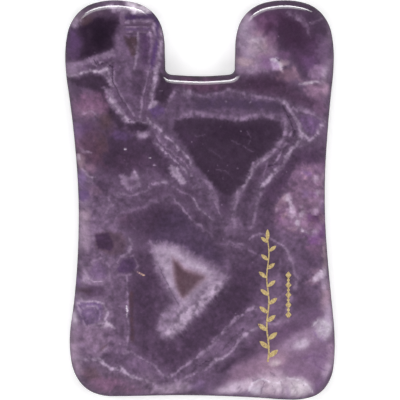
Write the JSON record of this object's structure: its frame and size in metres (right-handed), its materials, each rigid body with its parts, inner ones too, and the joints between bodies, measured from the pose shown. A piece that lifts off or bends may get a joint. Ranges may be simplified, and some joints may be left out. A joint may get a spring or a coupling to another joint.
{
  "type": "gua sha scraper",
  "caption": "Flat hand-held facial massage plate of polished banded amethyst, with two rounded horns, a square notch, hollowed sides and a gold foil ornament.",
  "frame": {"origin": "centre of the outline's bounding box, on the back face", "axes": "+Z out of the decorated face, +Y from the foot towards the two horns, +X to the right as the decorated face is seen with the horns up"},
  "size_m": [0.054, 0.08, 0.006],
  "materials": {
    "amethyst": "polished banded amethyst",
    "gold_foil": "hot-stamped gold foil, satin"
  },
  "bodies": {
    "root": {"amethyst_plate": "amethyst", "foil_sprig": "gold_foil", "foil_beads": "gold_foil"}
  },
  "joints": []
}
